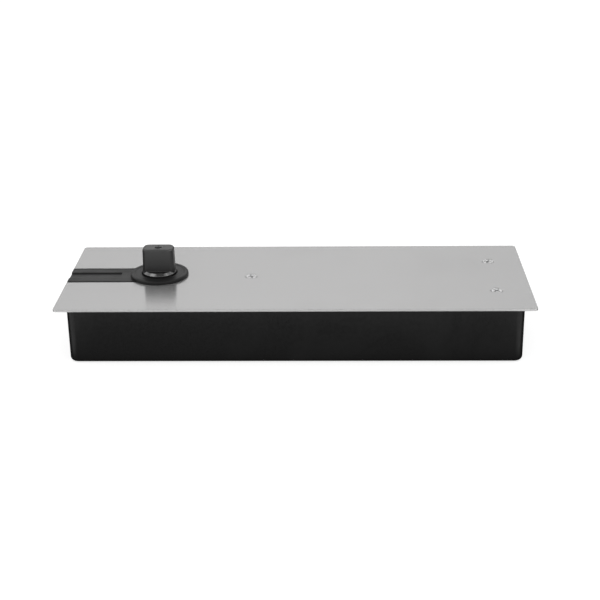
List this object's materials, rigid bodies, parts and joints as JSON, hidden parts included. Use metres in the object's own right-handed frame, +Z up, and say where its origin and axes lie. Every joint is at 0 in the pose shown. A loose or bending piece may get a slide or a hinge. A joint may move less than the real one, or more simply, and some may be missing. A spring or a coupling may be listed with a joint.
{
  "type": "floor spring door closer",
  "caption": "Concealed floor spring: black pressed-steel case, flush stainless cover plate, seal ring and tapered spindle driving a heart cam, roller yoke, springs and oil damper.",
  "frame": {"origin": "middle of the case's underside, which is the middle of the bounding box's bottom", "axes": "+X along the case, away from the spindle's end; +Y across the case; +Z up, along the spindle"},
  "size_m": [0.32, 0.122, 0.0624],
  "materials": {
    "case_paint": "satin black paint on pressed steel",
    "bracket_steel": "black painted steel strip",
    "stainless_cover": "fine satin stainless sheet, brushed along its length",
    "stainless_screw": "bright stainless",
    "insert_plastic": "matt dark grey moulded plastic",
    "ring_rubber": "satin black moulded ring",
    "cast_body": "grey cast iron, machined where it seals",
    "zinc_steel": "zinc-plated steel",
    "gasket_fibre": "oil-proof fibre sheet",
    "bearing_bronze": "sintered bronze",
    "ground_steel": "hardened and ground steel",
    "seal_rubber": "black nitrile rubber",
    "spindle_steel": "blackened steel, bare and polished on the neck",
    "spring_steel": "oil-tempered spring steel",
    "yoke_steel": "machined steel",
    "valve_brass": "turned brass"
  },
  "bodies": {
    "housing": {"cement_case": "case_paint", "clamp_brackets": "bracket_steel", "cover_bracket": "bracket_steel", "cover_plate": "stainless_cover", "cover_screws": "stainless_screw", "slot_insert": "insert_plastic", "spindle_ring": "ring_rubber", "closer_body": "cast_body", "levelling_screws": "zinc_steel", "clamp_bolts": "zinc_steel", "clamp_washers": "zinc_steel", "body_lid": "cast_body", "lid_gasket": "gasket_fibre", "lid_screws": "zinc_steel", "oil_plug": "zinc_steel", "upper_bush": "bearing_bronze", "lower_bush": "bearing_bronze", "thrust_washer": "ground_steel", "spindle_lip_seal": "seal_rubber", "rod_bush": "bearing_bronze", "closing_spring_front": "spring_steel", "closing_spring_rear": "spring_steel", "spring_guides": "ground_steel", "end_plug": "zinc_steel", "end_plug_o_ring": "seal_rubber"},
    "spindle": {"spindle": "spindle_steel", "cam_disc": "ground_steel", "cam_retaining_ring": "spring_steel"},
    "carriage": {"roller_pin": "ground_steel", "yoke_upper_plate": "yoke_steel", "yoke_lower_plate": "yoke_steel", "yoke_block": "yoke_steel", "yoke_pins": "ground_steel", "pull_rod": "ground_steel", "crosshead": "yoke_steel", "rod_nut": "zinc_steel", "piston": "ground_steel", "piston_seal": "seal_rubber", "check_retainer": "spring_steel"},
    "cam_roller": {"cam_roller": "ground_steel"},
    "check_ball": {"check_ball": "ground_steel"},
    "closing_valve": {"closing_speed_valve": "valve_brass", "closing_valve_o_ring": "seal_rubber"},
    "latching_valve": {"latching_speed_valve": "valve_brass", "latching_valve_o_ring": "seal_rubber"}
  },
  "joints": [
    {"name": "spindle_turn", "type": "hinge", "parent": "housing", "child": "spindle", "pos_m": [-0.0966, 0.003, 0.017], "axis": [0, 0, 1], "range_deg": [0, 130]},
    {"name": "carriage_slide", "type": "slide", "parent": "housing", "child": "carriage", "axis": [-1, 0, 0], "range_m": [0, 0.01198], "stiffness_N_per_m": 500, "springref_m": -0.04, "deforming": ["closing_spring_front", "closing_spring_rear"]},
    {"name": "cam_roller_spin", "type": "hinge", "parent": "carriage", "child": "cam_roller", "pos_m": [-0.1156, 0.003, 0.017], "axis": [0, 0, 1], "continuous": true},
    {"name": "check_ball_lift", "type": "slide", "parent": "carriage", "child": "check_ball", "axis": [1, 0, 0], "range_m": [0, 0.0012]},
    {"name": "closing_valve_turn", "type": "hinge", "parent": "housing", "child": "closing_valve", "pos_m": [0.1035, -0.014, 0.022], "axis": [0, 0, 1], "range_deg": [-360, 360]},
    {"name": "latching_valve_turn", "type": "hinge", "parent": "housing", "child": "latching_valve", "pos_m": [0.1035, 0.02, 0.022], "axis": [0, 0, 1], "range_deg": [-360, 360]}
  ],
  "couplings": [
    {"joint": "spindle_turn", "follows": "carriage_slide", "rad_per_m": 189.39}
  ]
}
